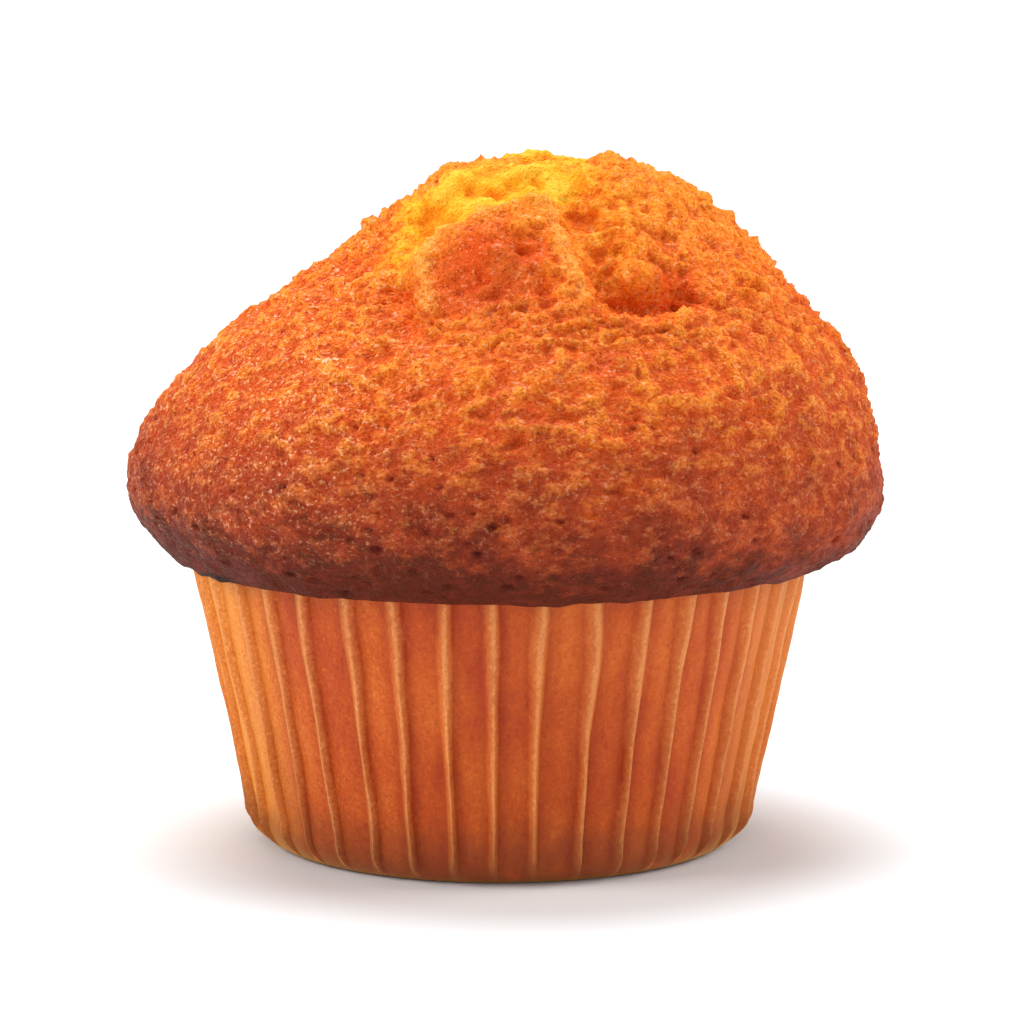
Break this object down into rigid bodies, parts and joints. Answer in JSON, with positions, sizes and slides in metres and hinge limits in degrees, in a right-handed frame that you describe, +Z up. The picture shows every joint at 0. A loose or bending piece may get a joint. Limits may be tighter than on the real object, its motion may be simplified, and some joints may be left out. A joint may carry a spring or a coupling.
{
  "type": "corn muffin",
  "caption": "Domed corn muffin with a burst, cracked crown that overhangs its fluted paper baking case.",
  "frame": {"origin": "centre of the paper case's flat base, on the surface that the muffin stands on", "axes": "+Z up through the dome; -Y is the front, the side with the crack round the front crust plate; +X to its right"},
  "size_m": [0.0841, 0.0842, 0.0762],
  "materials": {
    "baked_crust": "matte golden-brown baked crust with an open yellow crumb at the crown",
    "greaseproof_paper": "thin greaseproof paper, stained amber where the cake wets it"
  },
  "bodies": {
    "root": {"muffin_cake": "baked_crust", "paper_case": "greaseproof_paper"}
  },
  "joints": []
}
